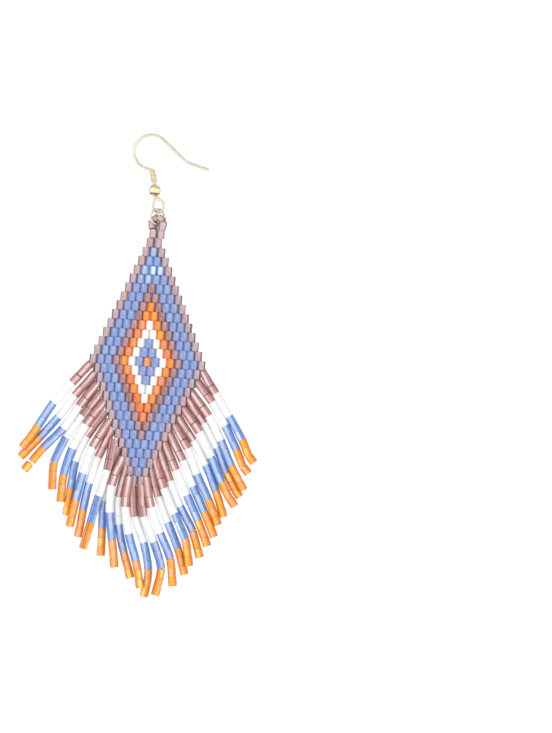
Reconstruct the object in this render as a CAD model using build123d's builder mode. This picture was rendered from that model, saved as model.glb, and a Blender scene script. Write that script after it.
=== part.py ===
from build123d import *
from collections import namedtuple
from math import asin, atan2, cos, degrees, pi, radians, sin, tan
import os

# A drop earring of seed beads. It hangs from the inside top of its ear wire, which is the origin.
# X runs across the bead panel, Z up, and the front looks along -Y. All lengths are in millimetres.

# ear wire
wire_d = 0.65
arch_r = 4.0            # centreline radius of the open arch
arch_exit = 40.0        # slope in degrees where the wire leaves the arch behind the ear
back_run = 7.6          # from the arch to the corner of the tail
tail_run = 5.4          # from that corner to the tip
tail_slope = 14.5
tail_bend_r = 5.0
shank_bend_r = 0.5
shank_flat = 0.02       # level wire between the arch and the shank's bend

# coil and ball threaded on the shank
thread_clearance = 0.03
coil_wire = 0.32
coil_pitch = 0.30
coil_turns = 9
coil_core = 0.4         # thickness of the core that holds the turns, as a share of their wire
coil_lean = 14.5        # degrees from plumb
coil_stop = 0.12        # bare wire above the coil and between coil and ball
ball_d = 2.7
ball_lean = 6.0
neck_bend_r = 1.5

# eye, a teardrop of the same wire
eye_r = 1.4             # centreline radius of its lower arc
eye_top_r = 0.45
eye_entry = 50.0        # degrees from the crown of the upper arc to where the shank meets it
eye_side = 0.655        # lower arc centre beside the upper one
eye_fall = 1.581        # and below it
eye_yaw = -24.0

# jump ring
ring_wire = 0.5
ring_r = 1.75
ring_slit = 0.08
ring_yaw = 26.0
link_gap = 0.12

# beadwork
bead_d = 1.76
bead_pitch = 1.8
bead_len = 2.127
wide_count = 15
narrow_count = 2
loop_rise = 3.34        # panel top to the foot of the jump ring
panel_shift = -0.32     # panel axis beside the jump ring
seam_gap = 0.12

# fringe
beads_per_colour = 3
head_w = 1.0
head_t = 0.8
layer = 1.0             # depth that a strand's forward counts in

# String of mauve beads through the jump ring: across, back and up from the middle of the panel's top.
loop_route = [
    (-0.62, 0.00, 0.16),
    (-0.62, 0.12, 1.35),
    (-1.04, 1.00, 3.20),
    (-0.26, 0.60, 4.76),
    (1.30, -0.60, 4.76),
    (2.00, -1.00, 3.20),
    (1.44, -0.12, 1.35),
    (1.40, 0.00, 0.16),
]

# Each strand hangs from the edge bead of a panel row. Leans are degrees outward from plumb for
# each colour, tip is the last bead alone, and forward is the strand's layer in front of the panel.
Strand = namedtuple("Strand", "side row mauve white blue orange tip forward")
strands = [
    Strand("left", 13, 42, 39, 29, 31, 34, 0.50),
    Strand("left", 14, 35, 31, 39, 41, 41, -0.50),
    Strand("left", 15, 34, 31, 43, 36, 30, 0.10),
    Strand("left", 16, 33, 33, 24, -2, -2, -0.20),
    Strand("left", 17, 33, 28, 14, 1, 1, 0.30),
    Strand("left", 18, 34, 21, 5, 6, 6, -0.40),
    Strand("left", 19, 28, 15, 10, 8, 8, 0.45),
    Strand("left", 20, 23, 15, 8, 7, 12, -0.15),
    Strand("left", 21, 12, 15, 12, 12, 12, 0.85),
    Strand("left", 22, 16, 9, 5, -2, -2, -0.70),
    Strand("left", 23, 18, 0, -10, -10, -10, 0.85),
    Strand("left", 24, 12, -4, -16, -19, -19, -0.30),
    Strand("left", 25, 4, -12, -21, -9, -9, 1.05),
    Strand("left", 26, -7, -25, -15, 6, 6, 0.00),
    Strand("right", 26, 8, 28, 22, -12, -12, 0.55),
    Strand("right", 25, 12, 23, 28, 7, 7, 0.75),
    Strand("right", 24, 16, 23, 26, 18, 18, -0.45),
    Strand("right", 23, 20, 28, 29, 10, 10, 0.55),
    Strand("right", 22, 22, 27, 31, 18, 18, -0.35),
    Strand("right", 21, 27, 27, 28, 24, 20, 0.25),
    Strand("right", 20, 30, 26, 27, 26, 24, 0.15),
    Strand("right", 19, 34, 23, 30, 25, 22, 0.40),
    Strand("right", 18, 36, 32, 24, 20, 18, -0.45),
    Strand("right", 17, 39, 30, 24, 22, 40, 0.30),
    Strand("right", 16, 38, 32, 22, 24, 38, -0.60),
    Strand("right", 15, 40, 31, 26, 28, 28, 0.00),
    Strand("right", 14, 43, 32, 29, 24, 44, 0.00),
    Strand("right", 13, 42, 35, 34, 24, 42, 0.00),
]

wire_r = wire_d / 2
arch_centre = Vector(0, 0, wire_r - arch_r)


def heading(slope):
    """A direction in the plane of the ear wire, slope in degrees above +X."""
    return Vector(cos(radians(slope)), 0, sin(radians(slope)))


def tube(path, diameter):
    """Round wire or string along a path, made in the part that is being built."""
    with BuildSketch(Plane(origin=path @ 0, z_dir=path % 0)) as section:
        Circle(diameter / 2)
    sweep(sections=section.sketch, path=path, transition=Transition.RIGHT)


# Corners of the ear wire. The shank turns down from the arch, runs through the coil, bends a
# little at the neck and runs through the ball into the top of the eye.
arch_back = arch_centre + heading(90 - arch_exit) * arch_r
arch_side = arch_centre + heading(180) * arch_r
arch_foot = arch_centre + heading(270) * arch_r
tail_corner = arch_back + heading(-arch_exit) * back_run
tip = tail_corner + heading(-tail_slope) * tail_run

coil_dir = heading(coil_lean - 90)
ball_dir = heading(ball_lean - 90)
coil_len = coil_pitch * (coil_turns - 1) + coil_wire
turn_len = shank_bend_r * tan(radians(90 - coil_lean) / 2)
neck_len = neck_bend_r * tan(radians(coil_lean - ball_lean) / 2)
shank_corner = arch_foot + heading(0) * (turn_len + shank_flat)
coil_top = shank_corner + coil_dir * (turn_len + coil_stop)
neck_corner = coil_top + coil_dir * (coil_len + neck_len)
ball_centre = neck_corner + ball_dir * (neck_len + coil_stop + ball_d / 2)
shank_end = ball_centre + ball_dir * (ball_d / 2 + coil_stop + wire_r)

# Eye: two arcs and their common tangents, in an upright plane turned by eye_yaw.
eye_across = Vector(cos(radians(eye_yaw)), sin(radians(eye_yaw)), 0)
eye_top = shank_end + (eye_across * sin(radians(eye_entry)) - Vector(0, 0, cos(radians(eye_entry)))) * eye_top_r
eye_low = eye_top + eye_across * eye_side - Vector(0, 0, eye_fall)
eye_tilt = degrees(atan2(-eye_fall, eye_side))
eye_spread = degrees(asin((eye_r - eye_top_r) / (eye_side**2 + eye_fall**2) ** 0.5))


def eye_spot(centre, radius, angle):
    return centre + (eye_across * cos(radians(angle)) + Vector(0, 0, sin(radians(angle)))) * radius


# The jump ring hangs on the lower arc of the eye, and the panel hangs below the jump ring.
ring_reach = eye_r - wire_r - ring_wire / 2 - link_gap
ring_top = eye_spot(eye_low, ring_reach, -90)
ring_centre = ring_top - Vector(0, 0, ring_r)
ring_foot = ring_centre - Vector(0, 0, ring_r)
panel_top = ring_foot + Vector(panel_shift, 0, -loop_rise)
panel_rows = 2 * (wide_count - narrow_count) + 1
widest_row = wide_count - narrow_count


def row_count(row):
    return wide_count - abs(row - widest_row)


def row_foot(row):
    """Height of the lower edge of a panel row."""
    return panel_top.Z - (row + 1) * bead_len


# Open arch with the tail behind the ear, shank and eye, one bent wire.
with BuildPart() as ear_hook:
    with BuildLine() as hook_line:
        FilletPolyline(tip, tail_corner, arch_back, radius=tail_bend_r)
        ThreePointArc(arch_back, arch_centre + heading(90) * arch_r, arch_side)
        ThreePointArc(arch_side, arch_centre + heading(225) * arch_r, arch_foot)
        FilletPolyline(arch_foot, shank_corner, neck_corner, shank_end, radius=[shank_bend_r, neck_bend_r])
    tube(hook_line.wire(), wire_d)
    low_start = eye_spot(eye_low, eye_r, eye_tilt - 90 - eye_spread)
    low_end = eye_spot(eye_low, eye_r, eye_tilt + 90 + eye_spread)
    top_start = eye_spot(eye_top, eye_top_r, eye_tilt + 90 + eye_spread)
    top_end = eye_spot(eye_top, eye_top_r, eye_tilt - 90 - eye_spread)
    with BuildLine() as eye_line:
        ThreePointArc(low_start, eye_spot(eye_low, eye_r, eye_tilt), low_end)
        Line(low_end, top_start)
        ThreePointArc(top_start, eye_spot(eye_top, eye_top_r, eye_tilt + 180), top_end)
        Line(top_end, low_start)
    tube(eye_line.wire(), wire_d)
ear_hook.part.label = "ear_hook"

# Close coil of fine wire, its turns drawn as rounds on a thin core.
bore_r = wire_r + thread_clearance
with BuildPart() as hook_coil:
    with BuildSketch(Plane(origin=coil_top, x_dir=-Vector(0, 1, 0), z_dir=coil_dir.cross(Vector(0, 1, 0)))):
        with Locations(*[(bore_r + coil_wire / 2, coil_wire / 2 + coil_pitch * n) for n in range(coil_turns)]):
            Circle(coil_wire / 2)
        with Locations((bore_r + coil_wire * coil_core, coil_len / 2)):
            Rectangle(coil_wire * coil_core, coil_len - coil_wire)
    revolve(axis=Axis(coil_top, coil_dir))
hook_coil.part.label = "hook_coil"

# Round bead drilled for the shank.
with BuildPart(Plane(origin=ball_centre, z_dir=ball_dir)) as hook_ball:
    Sphere(ball_d / 2)
    Cylinder(bore_r, ball_d * 2, mode=Mode.SUBTRACT)
hook_ball.part.label = "hook_ball"

# Jump ring, closed up to a fine slit at one side.
ring_across = Vector(cos(radians(ring_yaw)), sin(radians(ring_yaw)), 0)
slit_angle = degrees(ring_slit / ring_r)
with BuildPart() as jump_ring:
    with BuildSketch(Plane(origin=ring_centre, x_dir=ring_across, z_dir=Vector(0, 0, 1)).rotated((0, slit_angle / 2, 0))):
        with Locations((ring_r, 0)):
            Circle(ring_wire / 2)
    revolve(axis=Axis(ring_centre, Vector(0, 0, 1).cross(ring_across)), revolution_arc=360 - slit_angle)
jump_ring.part.label = "jump_ring"

# Loop of beads, a tube of straight runs and tangent arcs.
loop_points = [panel_top + Vector(*spot) for spot in loop_route]
loop_runs = [b - a for a, b in zip(loop_points, loop_points[1:])]
loop_radii = [
    0.45 * min(a.length, b.length) / tan(radians(a.get_angle(b)) / 2) for a, b in zip(loop_runs, loop_runs[1:])
]
print("loop radii", [round(r, 2) for r in loop_radii])
with BuildPart() as hanger_loop:
    with BuildLine() as loop_line:
        FilletPolyline(*loop_points, radius=loop_radii)
    tube(loop_line.wire(), bead_d)
hanger_loop.part.label = "hanger_loop"
print("loop volume over section x length",
      round(hanger_loop.part.volume / (pi * bead_d**2 / 4 * loop_line.wire().length), 4))

# Diamond of brick stitch, one row of upright beads below the other.
with BuildPart() as bead_panel:
    for row in range(panel_rows):
        with BuildSketch(Plane(origin=(panel_top.X, panel_top.Y, row_foot(row)))):
            SlotOverall(row_count(row) * bead_pitch, bead_d)
        extrude(amount=bead_len)
bead_panel.part.label = "bead_panel"


def strand_points(strand):
    """Centre line of a strand, tucked under its edge bead and beside the edge of the next row."""
    out = -1 if strand.side == "left" else 1
    first = radians(strand.mauve)
    aside = 0 if strand.row == panel_rows - 1 else bead_d / 2 * cos(first) + seam_gap
    across = (row_count(strand.row) - 1) * bead_pitch / 2 + aside
    spot = Vector(
        panel_top.X + out * across,
        panel_top.Y - strand.forward * layer,
        row_foot(strand.row) - bead_d / 2 * abs(sin(first)) - seam_gap,
    )
    points = [spot]
    leans = [strand.mauve, strand.white, strand.blue, strand.orange, strand.tip]
    counts = [beads_per_colour] * 3 + [beads_per_colour - 1, 1]
    for lean, count in zip(leans, counts):
        step = Vector(out * sin(radians(lean)), 0, -cos(radians(lean))) * (bead_len * count)
        if len(points) > 1 and step.get_angle(points[-1] - points[-2]) < 0.5:
            points[-1] += step
        else:
            points.append(points[-1] + step)
    return points


def head_outline(away):
    """Corners of a trapezium that stands away from the two lower edges and the foot of the panel."""
    slope = bead_pitch / 2 / bead_len
    top, foot = row_foot(widest_row) - seam_gap * 2, row_foot(panel_rows - 1) - away
    half = [
        row_count(widest_row) * bead_pitch / 2 - slope * (row_foot(widest_row) - z) + away * (1 + slope**2) ** 0.5
        for z in (top, foot)
    ]
    return [(panel_top.X + x, z) for x, z in ((-half[0], top), (-half[1], foot), (half[1], foot), (half[0], top))]


# Fringe: a narrow head along the lower edges holds every strand.
with BuildPart() as fringe:
    with BuildSketch(Plane.XZ.offset(-panel_top.Y)):
        Polygon(*head_outline(seam_gap + head_w), align=None)
        Polygon(*head_outline(seam_gap), align=None, mode=Mode.SUBTRACT)
    extrude(amount=head_t / 2, both=True)
    for strand in strands:
        with BuildLine() as strand_line:
            Polyline(*strand_points(strand))
        tube(strand_line.wire(), bead_d)
fringe.part.label = "fringe"

os.makedirs("parts", exist_ok=True)
for piece in (ear_hook, hook_coil, hook_ball, jump_ring, hanger_loop, bead_panel, fringe):
    export_step(piece.part, f"parts/{piece.part.label}.step")
    print(piece.part.label, len(piece.part.solids()), round(piece.part.volume, 3), piece.part.is_valid)
print("eye arc centre", eye_low, "ring centre", ring_centre, "ring foot", ring_foot)
print("panel top", panel_top, "tip", tip, "ball", ball_centre)
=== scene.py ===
import bpy
import math
import random
from mathutils import Matrix, Vector


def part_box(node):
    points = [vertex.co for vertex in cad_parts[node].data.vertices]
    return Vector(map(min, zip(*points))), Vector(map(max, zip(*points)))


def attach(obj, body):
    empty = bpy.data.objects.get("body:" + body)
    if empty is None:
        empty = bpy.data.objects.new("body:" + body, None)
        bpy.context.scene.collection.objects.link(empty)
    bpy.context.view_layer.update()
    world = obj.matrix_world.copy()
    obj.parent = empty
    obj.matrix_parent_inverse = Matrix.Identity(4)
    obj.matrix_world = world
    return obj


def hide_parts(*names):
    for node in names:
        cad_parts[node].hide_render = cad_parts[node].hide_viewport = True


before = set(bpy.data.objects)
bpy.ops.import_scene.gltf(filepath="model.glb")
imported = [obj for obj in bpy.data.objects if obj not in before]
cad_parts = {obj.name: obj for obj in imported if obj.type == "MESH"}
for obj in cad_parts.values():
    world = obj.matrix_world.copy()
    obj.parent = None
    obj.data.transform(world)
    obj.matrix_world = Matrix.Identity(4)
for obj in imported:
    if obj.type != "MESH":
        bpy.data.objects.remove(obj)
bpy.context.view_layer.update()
mm = 0.001
upward = Vector((0, 0, 1))
towardViewer = Vector((0, -1, 0))
print("frame loaded:", sorted(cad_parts))


def paint(red, green, blue):  # a screen colour, 0 to 255, as the shader wants it
    def linear(c):
        c /= 255
        return c / 12.92 if c <= 0.04045 else ((c + 0.055) / 1.055) ** 2.4
    return (linear(red), linear(green), linear(blue), 1.0)


# camera

view = {
    "lean": 4.1,               # the earring hangs this far off plumb in the picture, degrees
    "aim": (32.44, -51.33),    # across and up from the ear, what the middle of the picture shows, mm
    "pictureHeight": 170.4,    # mm of the object's plane that the picture's height takes in
    "distance": 600.0,         # mm
    "sensor": 36.0,
    "clip": (0.01, 20.0),      # metres
}


def setCamera():
    lean = math.radians(view["lean"])
    data = bpy.data.cameras.new("camera")
    data.sensor_width = view["sensor"]
    data.lens = view["sensor"] * view["distance"] / view["pictureHeight"]
    data.clip_start, data.clip_end = view["clip"]
    camera = bpy.data.objects.new("camera", data)
    side = Vector((math.cos(lean), 0, math.sin(lean)))
    top = Vector((-math.sin(lean), 0, math.cos(lean)))
    turn = Matrix((side, top, towardViewer)).transposed()
    spot = Vector((view["aim"][0], -view["distance"], view["aim"][1])) * mm
    camera.matrix_world = Matrix.Translation(spot) @ turn.to_4x4()
    bpy.context.scene.collection.objects.link(camera)
    bpy.context.scene.camera = camera
    bpy.context.scene.view_settings.view_transform = "Standard"


setCamera()
print("camera set")


# materials

class Value:  # a socket that takes part in sums
    def __init__(self, material, socket):
        self.material, self.socket = material, socket

    def combine(self, operation, *terms):
        return self.material.node("Math", {"operation": operation}, terms)

    def __add__(self, other):
        return self.combine("ADD", self, other)

    def __radd__(self, other):
        return self.combine("ADD", other, self)

    def __sub__(self, other):
        return self.combine("SUBTRACT", self, other)

    def __rsub__(self, other):
        return self.combine("SUBTRACT", other, self)

    def __mul__(self, other):
        return self.combine("MULTIPLY", self, other)

    def __rmul__(self, other):
        return self.combine("MULTIPLY", other, self)

    def __pow__(self, other):
        return self.combine("POWER", self, other)

    def __rpow__(self, other):
        return self.combine("POWER", other, self)

    def __abs__(self):
        return self.combine("ABSOLUTE", self)


class Finish:  # one material and its nodes
    def __init__(self, name):
        self.look = bpy.data.materials.new(name)
        self.look.use_nodes = True
        self.tree = self.look.node_tree
        self.tree.nodes.clear()

    def node(self, kind, settings=None, inputs=(), output=0):
        made = self.tree.nodes.new("ShaderNode" + kind)
        for name, value in (settings or {}).items():
            if name == "stops":
                ramp = made.color_ramp
                while len(ramp.elements) < len(value):
                    ramp.elements.new(0.5)
                for element, (place, colour) in zip(ramp.elements, value):
                    element.position, element.color = place, colour
            else:
                setattr(made, name, value)
        pairs = inputs.items() if isinstance(inputs, dict) else enumerate(inputs)
        for name, value in pairs:
            if isinstance(value, Value):
                self.tree.links.new(value.socket, made.inputs[name])
            else:
                made.inputs[name].default_value = value
        return Value(self, made.outputs[output]) if len(made.outputs) else None

    def stored(self, name, output="Fac"):  # a number or place kept on the mesh
        return self.node("Attribute", {"attribute_name": name}, output=output)

    def parts(self, vector):
        split = self.node("SeparateXYZ", inputs=[vector]).socket.node
        return [Value(self, socket) for socket in split.outputs]

    def step(self, value, low, high):  # 0 at low and 1 at high, whichever is more
        ends = (low, high, 0.0, 1.0) if low < high else (high, low, 1.0, 0.0)
        return self.node("MapRange", {"interpolation_type": "SMOOTHSTEP"}, [value, *ends])

    def mix(self, share, first, second):
        made = self.tree.nodes.new("ShaderNodeMix")
        made.data_type = "RGBA"
        for socket, value in ((made.inputs[0], share), (made.inputs[6], first), (made.inputs[7], second)):
            if isinstance(value, Value):
                self.tree.links.new(value.socket, socket)
            else:
                socket.default_value = value
        return Value(self, made.outputs[2])

    def shell(self, inputs):
        shader = self.node("BsdfPrincipled", inputs=inputs)
        self.node("OutputMaterial", inputs={"Surface": shader})
        return self.look


# One entry a colour of bead. clear is the colour painted in the lit middle of a bead, where light shows
# through its glass, and other, rich and third are what single beads lean to. body is the glass round it. The
# sides' colour is
# painted on its thick sides: painted shade on most colours, and on blue and orange painted light that lifts
# the real shade between beads. glow is the colour of painted highlights. window and ends are how far the
# painted lit middle reaches across and along.
beadColours = {
    "mauve": {
        "other": paint(182, 141, 146), "clear": paint(180, 137, 140), "rich": paint(169, 120, 121),
        "third": paint(153, 102, 97), "body": paint(162, 120, 122), "paintedSide": paint(160, 118, 124),
        "glow": paint(240, 222, 222), "window": 0.64, "ends": 0.92,
    },
    "lilac": {  # the same mauve painted lighter at the panel's edge and in the loop, where light comes through
        "other": paint(189, 168, 182), "clear": paint(191, 164, 172), "rich": paint(183, 154, 160),
        "third": paint(195, 166, 168), "body": paint(172, 144, 150), "paintedSide": paint(150, 122, 130),
        "glow": paint(244, 222, 220), "window": 0.70, "ends": 1.02,
    },
    "rose": {  # the same mauve where strings hang close, painted with brighter highlights and darker shade
        "other": paint(238, 206, 204), "clear": paint(246, 216, 212), "rich": paint(238, 200, 196),
        "third": paint(226, 184, 180), "body": paint(186, 136, 134), "paintedSide": paint(138, 90, 90),
        "glow": paint(250, 228, 222), "window": 0.37, "ends": 1.7,
    },
    "blue": {
        "other": paint(152, 152, 198), "clear": paint(138, 153, 198), "rich": paint(132, 155, 202),
        "third": paint(149, 172, 212), "body": paint(134, 158, 214), "paintedSide": paint(150, 176, 232),
        "glow": paint(222, 242, 253), "window": 0.64, "ends": 0.90,
    },
    "sky": {  # the same blue where strings hang close, painted with brighter highlights and darker shade
        "other": paint(192, 186, 230), "clear": paint(172, 196, 238), "rich": paint(162, 192, 240),
        "third": paint(192, 212, 246), "body": paint(112, 148, 210), "paintedSide": paint(96, 132, 200),
        "glow": paint(226, 240, 253), "window": 0.50, "ends": 1.3,
    },
    "white": {
        "other": paint(247, 245, 237), "clear": paint(249, 247, 239), "rich": paint(248, 247, 240),
        "third": paint(251, 249, 244), "body": paint(248, 245, 241), "paintedSide": paint(238, 232, 226),
        "glow": paint(255, 255, 255), "window": 0.86, "ends": 0.95,
    },
    "milk": {  # the same white where strings hang close, painted with darker shade on its sides
        "other": paint(248, 247, 248), "clear": paint(250, 249, 248), "rich": paint(248, 247, 247),
        "third": paint(253, 252, 250), "body": paint(249, 248, 248), "paintedSide": paint(230, 228, 230),
        "glow": paint(255, 255, 255), "window": 0.80, "ends": 1.2,
    },
    "orange": {
        "other": paint(230, 94, 30), "clear": paint(234, 160, 124), "rich": paint(236, 141, 55),
        "third": paint(238, 171, 22), "body": paint(240, 128, 44), "paintedSide": paint(252, 142, 64),
        "glow": paint(255, 208, 140), "window": 0.68, "ends": 0.92,
    },
    "amber": {  # the same orange where strings hang close, painted with brighter highlights and darker shade
        "other": paint(248, 184, 140), "clear": paint(252, 178, 88), "rich": paint(250, 178, 44),
        "third": paint(255, 222, 108), "body": paint(244, 148, 36), "paintedSide": paint(206, 110, 30),
        "glow": paint(255, 234, 190), "window": 0.50, "ends": 1.0,
    },
}
beadSlots = {
    "mauve": "mauve_beads", "lilac": "mauve_beads", "rose": "mauve_beads",
    "blue": "blue_beads", "sky": "blue_beads",
    "white": "white_beads", "milk": "white_beads",
    "orange": "orange_beads", "amber": "orange_beads",
}

# how the light and shade on every bead's glass is painted: places are shares of half its thickness across and
# deep, and of half its length along
glassPaint = {
    "hues": (("other", 0.06), ("clear", 0.36), ("rich", 0.64), ("third", 0.94)),  # the tone that gives each
    # the painted lit window: its strength, fade and squareness, and how much narrower it is at the foot
    "window": 0.97, "windowFade": (1.45, 0.15), "windowSquare": (2.6, 7.0), "footNarrow": 0.12,
    "slim": 0.40, "slimDeep": (0.26, 0.08), "slimAlong": (0.94, 0.80),  # the slim painted highlight on a bead's sides
    # where the painted colour of the sides reaches: shade on most colours, light on blue and orange
    "rimAcross": (0.74, 0.97), "rimDeep": (0.05, 0.16),
    # painted light streaks, and the strength of each bead's painted highlight
    "streak": 0.30, "streakRange": (0.46, 0.70), "streakStretch": (2.6, 2.6, 0.9), "flash": 0.9,
    # the painted shadow along the outer side of each edge bead: its colour, strength, and reach across and
    # deep
    "line": paint(88, 58, 58), "lineShare": 0.94, "lineAcross": (0.50, 0.60), "lineDeep": (0.40, 0.54),
    "rough": 0.22, "coat": 0.2, "coatRough": 0.05, "ripple": 0.12, "rippleHeight": 0.00004,
}


def beadGlass(name, colour):
    glass = Finish(name)
    spot = glass.stored("spot", "Vector")
    side, depth, along = glass.parts(spot)
    # the painted lit window on the front and back of a bead, a painted highlight narrower at its foot, and a
    # slim painted highlight on its sides
    narrow = glassPaint["footNarrow"]
    squareAcross, squareAlong = glassPaint["windowSquare"]
    reach = abs(side) * (1 / colour["window"]) * (1 + narrow - along * narrow)
    ends = abs(along) * (1 / colour["ends"])
    lit = glass.step(reach ** squareAcross + ends ** squareAlong, *glassPaint["windowFade"])
    slim = glass.step(abs(depth), *glassPaint["slimDeep"]) * glass.step(abs(along), *glassPaint["slimAlong"])
    # the sides' painted colour: painted shade on most colours, painted light on blue and orange
    rim = glass.step(abs(side), *glassPaint["rimAcross"]) * glass.step(abs(depth), *glassPaint["rimDeep"])
    stretched = glass.node("VectorMath", {"operation": "MULTIPLY"}, [spot, glassPaint["streakStretch"]])
    streak = glass.node("TexNoise", {}, {"Vector": stretched, "Scale": 1.0, "Detail": 2.0})
    stops = [(place, colour[key]) for key, place in glassPaint["hues"]]
    hue = glass.node("ValToRGB", {"stops": stops}, [glass.stored("tone")])
    # painted light streaks and each bead's painted highlight lighten the lit middle
    light = glass.step(streak, *glassPaint["streakRange"]) * glassPaint["streak"]
    clear = glass.mix(light + glass.stored("flash") * glassPaint["flash"], hue, colour["glow"])
    wall = glass.mix(rim, colour["body"], colour["paintedSide"])
    shown = glass.mix(lit * glassPaint["window"] + slim * glassPaint["slim"], wall, clear)
    # the painted shadow near the outer side of a bead at the panel's edge
    line = glass.step(side * glass.stored("brink"), *glassPaint["lineAcross"])
    line = line * glass.step(abs(depth), *glassPaint["lineDeep"])
    shown = glass.mix(line * glassPaint["lineShare"], shown, glassPaint["line"])
    ripple = glass.node("Bump", {}, {
        "Strength": glassPaint["ripple"], "Distance": glassPaint["rippleHeight"], "Height": streak})
    return glass.shell({
        "Base Color": shown, "Roughness": glassPaint["rough"], "IOR": 1.5,
        "Coat Weight": glassPaint["coat"], "Coat Roughness": glassPaint["coatRough"], "Normal": ripple})


# plated metals: colour, paler clouds, tint at grazing angles and roughness
golds = {
    "paleGold": (paint(222, 214, 190), paint(232, 225, 206), paint(84, 78, 60), 0.30),
    "richGold": (paint(238, 224, 178), paint(246, 236, 200), paint(96, 76, 40), 0.12),
    "ballGold": (paint(244, 233, 192), paint(250, 242, 212), paint(96, 76, 40), 0.10),
}
goldPaint = {
    "cloudScale": 900.0, "cloudRange": (0.35, 0.65), "cloudRough": 0.10,
    "scratchScale": 5200.0, "scratch": 0.05, "scratchHeight": 0.00002,
}
# the painted reflection on the ball, a darker band low on it that stands for the room mirrored in it:
# its foot and head as shares of the ball's height, and how far each edge fades, mm
ballPaintedReflection = {
    "foot": 0.12, "head": 0.26, "footFade": (-0.12, 0.05), "headFade": (0.08, -0.02),
    "colour": paint(122, 82, 28), "share": 0.80,
}


def gold(name, colour, pale, edge, rough):
    metal = Finish(name)
    place = metal.node("TexCoord", output="Object")
    cloud = metal.node("TexNoise", {}, {"Vector": place, "Scale": goldPaint["cloudScale"], "Detail": 3.0})
    scratch = metal.node("TexNoise", {}, {"Vector": place, "Scale": goldPaint["scratchScale"], "Detail": 2.0})
    fine = metal.node("Bump", {}, {
        "Strength": goldPaint["scratch"], "Distance": goldPaint["scratchHeight"], "Height": scratch})
    shown = metal.mix(metal.step(cloud, *goldPaint["cloudRange"]), colour, pale)
    # the painted reflection: a darker band low on the ball
    if name == "ballGold":
        low, high = (corner.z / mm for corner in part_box("hook_ball"))
        foot = low + (high - low) * ballPaintedReflection["foot"]
        head = low + (high - low) * ballPaintedReflection["head"]
        height = metal.parts(place)[2] * (1 / mm)
        band = metal.step(height, *(foot + fade for fade in ballPaintedReflection["footFade"]))
        band = band * metal.step(height, *(head + fade for fade in ballPaintedReflection["headFade"]))
        shown = metal.mix(band * ballPaintedReflection["share"], shown, ballPaintedReflection["colour"])
    return metal.shell({
        "Base Color": shown, "Metallic": 1.0, "Roughness": cloud * goldPaint["cloudRough"] + rough,
        "Specular Tint": edge, "Normal": fine})


threadPaint = {
    "dark": paint(206, 176, 172), "pale": paint(228, 204, 198), "twistScale": 2600.0, "distortion": 1.0,
    "rough": 0.6, "ply": 0.3, "plyHeight": 0.00003,
}


def threadFibre(name):
    fibre = Finish(name)
    place = fibre.node("TexCoord", output="Object")
    twist = fibre.node("TexWave", {"bands_direction": "DIAGONAL"}, {
        "Vector": place, "Scale": threadPaint["twistScale"], "Distortion": threadPaint["distortion"]})
    shown = fibre.mix(twist, threadPaint["dark"], threadPaint["pale"])
    ply = fibre.node("Bump", {}, {
        "Strength": threadPaint["ply"], "Distance": threadPaint["plyHeight"], "Height": twist})
    return fibre.shell({"Base Color": shown, "Roughness": threadPaint["rough"], "Normal": ply})


looks = {colour: beadGlass(colour + "Glass", entry) for colour, entry in beadColours.items()}
looks.update({name: gold(name, *entry) for name, entry in golds.items()})
looks["thread"] = threadFibre("beadingThread")
print("materials made")


def meshPiece(name, points, faces, look, body, node):
    mesh = bpy.data.meshes.new(name)
    mesh.from_pydata(points, [], faces)
    mesh.polygons.foreach_set("use_smooth", [True] * len(faces))
    mesh.materials.append(looks[look])
    piece = bpy.data.objects.new(name, mesh)
    bpy.context.scene.collection.objects.link(piece)
    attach(piece, body)
    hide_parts(node)
    return piece


# seed beads: a drilled cylinder with softened ends, each a little different, in mm

bead = {
    "thick": 1.82, "long": 2.12, "hole": 0.80, "sides": 24,
    "softenAcross": 0.08, "softenAlong": 0.05,
    "mouth": ((0.0, 0.9), (0.06, 0.25), (0.14, 0.0)),  # round the hole: shares out from it and sunk at it
    "thickSpread": 0.008, "longSpread": 0.006,
    "endTilt": 0.018, "endFrom": 0.6,  # how far off square an end is cut, and where an end begins
}
chance = random.Random(41)


def beadOutline():  # radius and height shares round a bead's wall, from the hole's foot, outside, to its top
    hole = bead["hole"] / bead["thick"]
    soft = bead["softenAcross"] / bead["thick"] * 2
    sink = bead["softenAlong"] / bead["long"] * 2
    half = [(hole + out, 1 - sink * sunk) for out, sunk in bead["mouth"]]
    for turn in (0, 30, 60, 90):
        a = math.radians(turn)
        half.append((1 - soft + soft * math.sin(a), 1 - sink + sink * math.cos(a)))
    return [(r, -z) for r, z in half] + [(r, z) for r, z in reversed(half)]


outline = beadOutline()


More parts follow.
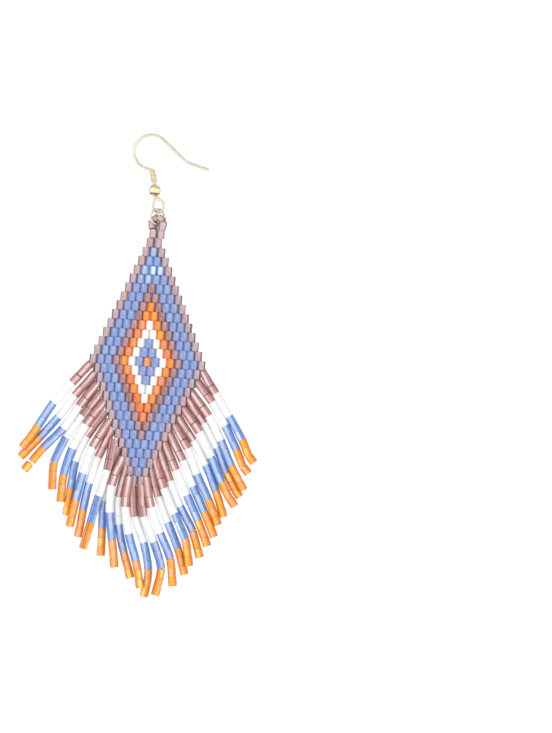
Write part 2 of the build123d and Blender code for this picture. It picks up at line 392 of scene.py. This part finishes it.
class Beads:  # beads of one colour that become one mesh
    def __init__(self):
        self.points, self.faces, self.spots = [], [], []
        self.kept = {"tone": [], "flash": [], "brink": []}

    def add(self, centre, axis, front=towardViewer, long=None, flash=0.0, tone=None, thick=None, brink=0.0):
        axis = axis.normalized()
        side = axis.cross(front).normalized()
        back = side.cross(axis)
        halfLong = (long or bead["long"]) * (1 + chance.gauss(0, bead["longSpread"])) / 2
        halfThick = (thick or bead["thick"]) * (1 - abs(chance.gauss(0, bead["thickSpread"]))) / 2
        tilt = chance.uniform(0, bead["endTilt"])
        tiltWay = chance.uniform(0, math.tau)
        tone = chance.random() if tone is None else tone
        start, sides, rows = len(self.points), bead["sides"], len(outline)
        for r, z in outline:
            for n in range(sides):
                a = math.tau * n / sides
                x, y = r * math.cos(a), r * math.sin(a)
                lift = z * halfLong
                if abs(z) > bead["endFrom"]:
                    lift += tilt * r * math.cos(a - tiltWay)
                point = centre + side * (x * halfThick) - back * (y * halfThick) + axis * lift
                self.points.append(point * mm)
                self.spots.append((x, y, z))
        for k in range(rows):
            for n in range(sides):
                m = (n + 1) % sides
                a, b = start + k * sides, start + (k + 1) % rows * sides
                self.faces.append((a + n, a + m, b + m, b + n))
        for key, value in (("tone", tone), ("flash", flash), ("brink", brink)):
            self.kept[key] += [value] * rows * sides

    def make(self, name, colour, node):
        piece = meshPiece(name, self.points, self.faces, colour, "drop", node)
        place = piece.data.attributes.new("spot", "FLOAT_VECTOR", "POINT")
        place.data.foreach_set("vector", [c for spot in self.spots for c in spot])
        for key, values in self.kept.items():
            piece.data.attributes.new(key, "FLOAT", "POINT").data.foreach_set("value", values)


headOn = 0.9  # a run that points this much at the viewer takes its first side from upward instead


def threadPiece(name, runs, thick, node, sides=6, look="thread", body="drop"):
    points, faces = [], []
    for run in runs:
        start, across = len(points), None
        for k, spot in enumerate(run):
            ahead = (run[min(k + 1, len(run) - 1)] - run[max(k - 1, 0)]).normalized()
            if across is None:
                across = ahead.cross(towardViewer if abs(ahead.y) < headOn else upward)
            # carried along the run, so that the tube doesn't twist
            across = (across - ahead * across.dot(ahead)).normalized()
            second = ahead.cross(across)
            for n in range(sides):
                a = math.tau * n / sides
                points.append((spot + (across * math.cos(a) + second * math.sin(a)) * thick / 2) * mm)
        for k in range(len(run) - 1):
            for n in range(sides):
                m = (n + 1) % sides
                a, b = start + k * sides, start + (k + 1) * sides
                faces.append((a + n, a + m, b + m, b + n))
        faces.append(tuple(start + n for n in reversed(range(sides))))
        faces.append(tuple(start + (len(run) - 1) * sides + n for n in range(sides)))
    meshPiece(name, points, faces, look, body, node)


def arc(first, last, bulge, steps=6):  # a shallow bow from one point to another
    return [first.lerp(last, k / steps) + bulge * math.sin(math.pi * k / steps) for k in range(steps + 1)]


def turned(front, axis, degrees):
    return Matrix.Rotation(math.radians(degrees), 3, axis) @ front


# diamond panel in brick stitch

panel = {
    "pitch": 1.8, "rise": 2.127, "rows": 27, "widest": 15,
    "order": ["lilac", "blue", "blue", "mauve", "orange", "white", "blue", "orange"],  # from an edge inward; the edge takes the mauve painted lighter
    "bow": 0.38,  # how far the rows bow to one side of plumb
    "jitter": (0.0125, 0.035, 0.0175),  # spread of a bead's place across, deep and up, mm
    "axisSpread": 0.008, "faceTurn": 9.0,
    "thread": 0.16, "stitchBow": (0, -0.12, 0.05),
    "goldenAbove": 9, "goldenFrom": 0.62,  # orange beads above this row are golden
    "redBelow": 17, "redShare": 0.28,      # and below this one red
    "thinAbove": 13, "thin": 0.78,         # the painted shadow on the edge beads is thinner above this row
    # the tone of single beads and their painted highlight, by row and place
    "tones": {(13, 7): 0.36},
    "paintedShine": {(3, 1): 0.45, (3, 2): 1.0, (3, 3): 0.75, (4, 2): 0.5, (1, 1): 0.25, (4, 1): 0.2},
}
panelLow, panelHigh = (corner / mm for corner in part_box("bead_panel"))
panelMid = (panelLow + panelHigh) / 2
panelTop = Vector((panelMid.x, panelMid.y, panelHigh.z))


def rowCount(row):
    return panel["widest"] - abs(row - panel["rows"] // 2)


def rowFoot(row):
    return panelTop.z - (row + 1) * panel["rise"]


def rowMiddle(row):
    return panelTop.x + panel["bow"] * math.sin(math.pi * row / (panel["rows"] - 1))


def panelTone(colour, row, n):
    tone = chance.random()
    if colour == "orange" and row < panel["goldenAbove"]:
        tone = panel["goldenFrom"] + tone * (1 - panel["goldenFrom"])
    if colour == "orange" and row > panel["redBelow"]:
        tone *= panel["redShare"]
    return panel["tones"].get((row, n), tone)


def makePanel():
    colours = {colour: Beads() for colour in sorted(set(panel["order"]))}
    stitches = []
    for row in range(panel["rows"]):
        count = rowCount(row)
        for n in range(count):
            x = rowMiddle(row) + (n - (count - 1) / 2) * panel["pitch"]
            centre = Vector((x, panelTop.y, rowFoot(row) + panel["rise"] / 2))
            centre += Vector([chance.gauss(0, spread) for spread in panel["jitter"]])
            lean = Vector((chance.gauss(0, panel["axisSpread"]), chance.gauss(0, panel["axisSpread"]), 0))
            axis = (upward + lean).normalized()
            front = turned(towardViewer, axis, chance.gauss(0, panel["faceTurn"]))
            inward = min(n, count - 1 - n)
            colour = panel["order"][inward]
            tone = panelTone(colour, row, n)
            # the painted shadow on the outer side of each edge bead
            line = panel["thin"] if row < panel["thinAbove"] else 1.0
            brink = 0 if inward else line * (1 if n else -1)  # which side of an edge bead faces out and takes the painted shadow
            # this bead's painted highlight
            flash = panel["paintedShine"].get((row, n), 0.0)
            colours[colour].add(centre, axis, front, flash=flash, tone=tone, brink=brink)
        if row < panel["rows"] - 1:  # thread that crosses from hole to hole between two rows
            holes = min(count, rowCount(row + 1))
            for n in range(holes - 1):
                x = rowMiddle(row) + (n - (holes - 1) / 2) * panel["pitch"]
                near = Vector((x, panelTop.y, rowFoot(row)))
                stitches.append(arc(near, near + Vector((panel["pitch"], 0, 0)), Vector(panel["stitchBow"])))
    for colour, beads in colours.items():
        beads.make("panel_" + ("edge" if colour == "lilac" else colour) + "_beads", colour, "bead_panel")
    threadPiece("panel_thread", stitches, panel["thread"], "bead_panel")


makePanel()
print("panel strung")


# fringe: one string of beads from the edge bead of each row in the panel's lower half. A string's row,
# its leans outward from plumb in degrees for each colour and its last bead, and then in mm its layer
# forward, its start outward and its slack down.

fringe = {
    # the fringe takes copies of the panel's colours with their own painted light and shade
    "each": 3, "colours": ["rose", "milk", "sky", "amber"], "thick": (2.02, 1.98, 1.96, 1.94),
    "half": 0.88, "seam": 0.12,   # about half an edge bead, and the room between it and a string
    "lap": 0.012,                 # how much longer a bead is than its step, so that no gap shows
    "ease": 0.22,                 # the share of a change of lean that the beads at a joint take
    "sway": 0.7, "faceTurn": 5.0, "stringTurn": 20.0, "drift": 0.010,  # spreads of lean, turn and slope
    "tuck": (0.31, 0.85, 0.85),   # how far a string starts under its bead: across, along and behind it
    "tuckWhole": 0.67,            # the sine of the lean that is tucked as far as that
    "stretch": 0.85,              # the share of a string's slack that its longer first beads take up
    "settle": 2,                  # the beads in which a string comes forward to its layer
    "closer": {("right", 13): 2.05, ("right", 14): 2.08},  # strings whose beads sit closer, and how close
    "loose": ("left", 15, 0.55, 38.0),  # the bead that hangs loose at a string's end: its gap and its turn
    "brightOnes": 0.02, "bright": 0.9, "glint": 0.12,      # the share of beads with a strong painted highlight, its strength, and the spread of the others' painted glint
    "thread": 0.16, "threadInset": 0.1,
    "root": (0.3, 0.25, 0.35),    # thread in the edge bead's hole: up, down, and the share of the way back
    # thread round the last bead: from its middle going out and coming in, how far from its ends it lies
    # straight, how much closer it lies at the foot and at the head, and past the ends
    "wrap": {"out": 0.35, "in": 0.30, "corner": 0.25, "footCloser": 0.12, "headCloser": 0.20, "past": 0.02},
    "under": {"lift": 0.2, "forward": 0.2, "drops": (0.33, 0.49), "steps": 8},  # thread under the last row
    "left": [
        (13, 39, 40, 29, 31, 34, 0.50, 0.40, -0.10), (14, 37, 33, 39, 41, 41, -0.50, 0.50, 0.50),
        (15, 34, 31, 43, 36, 30, 0.10, 0.53, 0.60), (16, 33, 33, 24, -2, -2, -0.20, 0.48, 0.57),
        (17, 33, 28, 14, 1, 1, 0.30, 0.44, 0.55), (18, 34, 21, 5, 6, 6, -0.40, 0.97, 1.03),
        (19, 30, 16, 10, 8, 8, 0.45, 0.72, 1.20), (20, 23, 15, 8, 5, 8, -0.15, 0.40, 0.95),
        (21, 7, 15, 12, 12, 12, 0.85, 0.18, 1.15), (22, 16, 9, -2, -2, -2, -0.70, -0.10, 0.20),
        (23, 18, 0, -10, -10, -10, 0.85, -0.17, 0.65), (24, 12, -4, -15, -19, -19, -0.30, -0.50, 0.95),
        (25, 4, -12, -19, -13, -13, 1.05, -0.82, 0.82), (26, -7, -25, -15, 6, 6, 0.00, 0.00, 0.80),
    ],
    "right": [
        (26, 8, 28, 22, -12, -12, 0.55, 0.20, 0.80), (25, 13, 24, 28, 7, 7, 0.75, -0.52, 0.75),
        (24, 17, 25, 26, 18, 18, -0.45, -0.34, 0.46), (23, 20, 28, 29, 10, 10, 0.55, -0.33, 0.65),
        (22, 23, 27, 31, 18, 18, -0.35, -0.20, 1.10), (21, 27, 27, 28, 24, 20, 0.25, -0.15, 0.75),
        (20, 31, 26, 27, 26, 24, 0.15, 0.12, 0.80), (19, 34, 23, 30, 25, 22, 0.40, 0.00, 0.15),
        (18, 36, 32, 24, 20, 18, -0.45, -0.07, 0.50), (17, 39, 30, 25, 32, 40, 0.30, 0.30, 0.72),
        (16, 38, 32, 24, 32, 38, -0.60, 0.15, 0.62), (15, 42, 31, 26, 31, 31, 0.00, 0.24, 1.10),
        (14, 41, 32, 29, 24, 44, 0.00, 0.00, 0.06), (13, 36, 35, 34, 24, 42, 0.00, 0.00, 0.00),
    ],
}


def beadLeans(leans):  # one lean for each bead, eased where two colours meet
    each, perBead = fringe["each"], []
    for lean in leans[:-1]:
        perBead += [lean] * each
    perBead[-1] = leans[-1]
    eased = list(perBead)
    for k in range(each, len(perBead) - 1, each):
        change = (perBead[k] - perBead[k - 1]) * fringe["ease"]
        eased[k - 1] += change
        eased[k] -= change
    return eased


def stringStart(row, out, first, forward, outward, slack):  # and the middle of its edge bead, across
    aside = 0 if row == panel["rows"] - 1 else fringe["half"] * math.cos(first) + fringe["seam"]
    middle = rowMiddle(row) + out * (rowCount(row) - 1) * panel["pitch"] / 2
    share = min(max(math.sin(first) / fringe["tuckWhole"], 0), 1)
    across, along, behind = (v * share for v in fringe["tuck"])
    inward = across * math.cos(first) + along * math.sin(first)
    lift = along * math.cos(first) - across * math.sin(first)
    spot = Vector((
        middle + out * (aside - inward + outward),
        panelTop.y + behind - forward * (1 - share),
        rowFoot(row) - fringe["half"] * abs(math.sin(first)) - fringe["seam"] + lift - slack))
    return spot, middle


def threadRoundBead(end, down, aside, long):
    wrap = fringe["wrap"]
    wide = bead["thick"] / 2 + fringe["thread"] / 2
    return [
        end + down * wrap["past"] + aside * wrap["out"],
        end - down * wrap["past"] + aside * (wide - wrap["footCloser"]),
        end - down * wrap["corner"] + aside * wide,
        end - down * (long - wrap["corner"]) + aside * wide,
        end - down * (long - wrap["past"]) + aside * (wide - wrap["headCloser"]),
        end - down * long + aside * wrap["in"]]


def makeString(colours, side, out, row, leans, forward, outward, slack):  # gives back its thread's way
    first = math.radians(leans[0])
    step = fringe["closer"].get((side, row), panel["rise"])
    stringTurn = chance.gauss(0, fringe["stringTurn"])
    stretch = max(slack, 0) * fringe["stretch"] / math.cos(first)
    spot, middle = stringStart(row, out, first, forward, outward, slack)
    spot -= Vector((out * math.sin(first), 0, -math.cos(first))) * stretch
    toLayer = (panelTop.y - forward - spot.y) / (panel["rise"] * fringe["settle"])
    rootUp, rootDown, rootShare = fringe["root"]
    hole = Vector((middle, panelTop.y, rowFoot(row) + rootUp))
    thread = [hole, hole - upward * rootDown, spot.lerp(hole, rootShare)]
    looseSide, looseRow, looseGap, looseTurn = fringe["loose"]
    perBead = beadLeans(leans)
    for k, lean in enumerate(perBead):
        if (side, row, k) == (looseSide, looseRow, len(perBead) - 1):
            spot = spot + down * looseGap
            lean = looseTurn
        lean = math.radians(lean + chance.gauss(0, fringe["sway"]))
        long = step + (stretch / fringe["each"] if k < fringe["each"] else 0)
        slope = toLayer if k < fringe["settle"] else chance.gauss(0, fringe["drift"])
        down = Vector((out * math.sin(lean), slope, -math.cos(lean))).normalized()
        centre = spot + down * long / 2
        front = turned(towardViewer, down, stringTurn + chance.gauss(0, fringe["faceTurn"]))
        # a painted highlight: strong on a few beads, faint on the rest
        if chance.random() < fringe["brightOnes"]:
            paintedShine = fringe["bright"]
        else:
            paintedShine = max(0.0, chance.gauss(0, fringe["glint"]))
        third = k // fringe["each"]
        strand = colours[fringe["colours"][third]]
        strand.add(centre, -down, front, long=long + fringe["lap"], flash=paintedShine, thick=fringe["thick"][third])
        thread.append(spot + down * fringe["threadInset"])
        spot = spot + down * long
        thread.append(spot - down * fringe["threadInset"])
    aside = down.cross(towardViewer).normalized() * -out
    return thread + threadRoundBead(spot, down, aside, step)


def makeFringe():
    colours = {colour: Beads() for colour in fringe["colours"]}
    threads = []
    for side, out in (("left", -1), ("right", 1)):
        for row, *leans, forward, outward, slack in fringe[side]:
            threads.append(makeString(colours, side, out, row, leans, forward, outward, slack))
    for colour, beads in colours.items():
        beads.make("fringe_" + beadSlots[colour], colour, "fringe")
    under = fringe["under"]
    foot = Vector((panelTop.x, panelTop.y, rowFoot(panel["rows"] - 1) + under["lift"]))
    half = Vector((panel["pitch"] / 2, 0, 0))
    for drop in under["drops"]:
        threads.append(arc(foot - half, foot + half, Vector((0, -under["forward"], -drop)), under["steps"]))
    threadPiece("fringe_thread", threads, fringe["thread"], "fringe")


makeFringe()
print("fringe strung")


# string of beads through the jump ring: foot and head of each bead, across, back and up from the middle
# of the panel's top, and its thickness

loop = {
    "beads": [
        ((-0.38, 0.02, 0.04), (-0.40, 0.16, 2.10), 1.80), ((-0.66, 0.42, 2.14), (-0.98, 1.00, 4.10), 1.80),
        ((-0.86, 0.98, 4.20), (0.40, 0.16, 5.04), 1.66), ((1.90, -0.98, 4.18), (0.64, -0.16, 5.02), 1.62),
        ((1.60, -0.42, 2.14), (1.90, -1.00, 4.10), 1.80), ((1.38, -0.02, 0.04), (1.42, -0.16, 2.10), 1.80),
    ],
    "behind": ((0.64, 1.24, 1.84), (0.58, 1.46, 3.90), 1.60),  # one more at the back, between the two sides
    # the loop's beads take a painted highlight, stronger on the one at the back, which sits in shade
    "gap": 0.04, "tones": (0.20, 0.60), "glow": 0.30, "highlightBehind": 0.9,
    "thread": 0.18, "rearRoot": (0.2, 0.3, -0.1), "rearEnd": (-0.1, -0.2, 0.4),
}


def makeLoop():
    beads, route = Beads(), []
    for spots in (*loop["beads"], loop["behind"]):
        foot, head, thick = spots
        # painted highlight, stronger on the bead at the back
        flash = loop["highlightBehind"] if spots is loop["behind"] else loop["glow"]
        foot, head = panelTop + Vector(foot), panelTop + Vector(head)
        long = min((head - foot).length, panel["rise"]) - loop["gap"]
        tone = chance.uniform(*loop["tones"])
        beads.add((foot + head) / 2, head - foot, long=long, thick=thick, tone=tone, flash=flash)
    # the loop's beads take the mauve painted lighter, as at the panel's edge
    beads.make("loop_beads", "lilac", "hanger_loop")
    for n, spots in enumerate(loop["beads"]):  # up one side and down the other
        foot, head = (panelTop + Vector(spot) for spot in spots[:2])
        route += [foot, head] if n < len(loop["beads"]) // 2 else [head, foot]
    low, high = (panelTop + Vector(spot) for spot in loop["behind"][:2])
    rear = [route[0] + Vector(loop["rearRoot"]), low, high, high + Vector(loop["rearEnd"])]
    threadPiece("loop_thread", [route, rear], loop["thread"], "hanger_loop")


makeLoop()
print("loop strung")


# ear wire, ball and jump ring keep their solids, and the coil is wound as the fine wire that it is, in mm

coil = {
    "wire": 0.32, "pitch": 0.30, "turns": 10, "radius": 0.515, "lean": 14.5, "long": 2.72,
    "sides": 10, "steps": 28,  # facets round the wire, and points in a turn
}
metalLooks = {
    "ear_hook": "paleGold", "jump_ring": "paleGold", "hook_coil": "richGold", "hook_ball": "ballGold",
}


def makeCoil():
    low, high = (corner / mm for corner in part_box("hook_coil"))
    lean = math.radians(coil["lean"])
    down = Vector((math.sin(lean), 0, -math.cos(lean)))
    foot = (low + high) / 2 + down * (coil["long"] - coil["wire"]) / 2
    across = Vector((math.cos(lean), 0, math.sin(lean)))
    route = []
    for k in range(coil["turns"] * coil["steps"] + 1):
        a = math.tau * k / coil["steps"]
        around = across * math.cos(a) + towardViewer * math.sin(a)
        route.append(foot + around * coil["radius"] - down * (coil["pitch"] * (k / coil["steps"] - 0.5)))
    threadPiece(
        "hook_coil_wire", [route], coil["wire"], "hook_coil", sides=coil["sides"], look="richGold",
        body="hook")


def finishMetal():
    for name, look in metalLooks.items():
        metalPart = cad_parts[name]
        metalPart.data.materials.clear()
        metalPart.data.materials.append(looks[look])


makeCoil()
finishMetal()
print("coil wound and metal finished")


# pale seamless floor that curves up all round, and soft light, in metres

studio = {
    "floor": -0.42, "flat": 0.9, "curve": 0.5, "wall": 1.05, "sides": 96, "steps": 12,
    "shade": paint(232, 232, 232), "fleck": paint(226, 226, 228), "fleckShare": 0.1, "rough": 0.9,
    "sky": 0.68, "glow": 0.32,
    # place, size and power in watts of each soft light, and where they all point
    "lights": [
        ((-0.45, -0.85, 0.45), 0.5, 1.5), ((0.55, -0.75, 0.05), 0.4, 0.5), ((0.1, 0.8, 0.5), 0.5, 1.0),
    ],
    "aim": (0.0, 0.0, -0.05),
}


def paperFinish():
    paper = Finish("whitePaper")
    place = paper.node("TexCoord", output="Object")
    fleck = paper.node("TexNoise", {}, {"Vector": place, "Scale": 3.0, "Detail": 4.0})
    shown = paper.mix(fleck * studio["fleckShare"], studio["shade"], studio["fleck"])
    return paper.shell({
        "Base Color": shown, "Roughness": studio["rough"],
        "Emission Color": (1, 1, 1, 1), "Emission Strength": studio["glow"]})


def makeStage():
    rim = [(studio["flat"], 0.0)]  # distance out and height of each ring of points
    for k in range(1, studio["steps"] + 1):
        a = math.radians(90) * k / studio["steps"]
        rim.append((studio["flat"] + studio["curve"] * math.sin(a), studio["curve"] * (1 - math.cos(a))))
    rim.append((studio["flat"] + studio["curve"], studio["wall"]))
    points, faces, sides = [Vector((0, 0, studio["floor"]))], [], studio["sides"]
    for r, z in rim:
        for n in range(sides):
            a = math.tau * n / sides
            points.append(Vector((r * math.cos(a), r * math.sin(a), studio["floor"] + z)))
    for n in range(sides):
        m = (n + 1) % sides
        faces.append((0, 1 + n, 1 + m))
        for k in range(len(rim) - 1):
            a, b = 1 + k * sides, 1 + (k + 1) * sides
            faces.append((a + n, b + n, b + m, a + m))
    mesh = bpy.data.meshes.new("floor")
    mesh.from_pydata(points, [], faces)
    mesh.polygons.foreach_set("use_smooth", [True] * len(faces))
    mesh.materials.append(paperFinish())
    floor = bpy.data.objects.new("floor", mesh)
    bpy.context.scene.collection.objects.link(floor)


def makeLights():
    world = bpy.data.worlds.new("sky")
    world.use_nodes = True
    world.node_tree.nodes["Background"].inputs["Color"].default_value = (1, 1, 1, 1)
    world.node_tree.nodes["Background"].inputs["Strength"].default_value = studio["sky"]
    bpy.context.scene.world = world
    for n, (place, size, power) in enumerate(studio["lights"]):
        data = bpy.data.lights.new("soft" + str(n), "AREA")
        data.size, data.energy = size, power
        lamp = bpy.data.objects.new("soft" + str(n), data)
        lamp.location = place
        aim = Vector(studio["aim"]) - lamp.location
        lamp.rotation_euler = aim.to_track_quat("-Z", "Y").to_euler()
        bpy.context.scene.collection.objects.link(lamp)


makeStage()
makeLights()
print("stage and lights set")
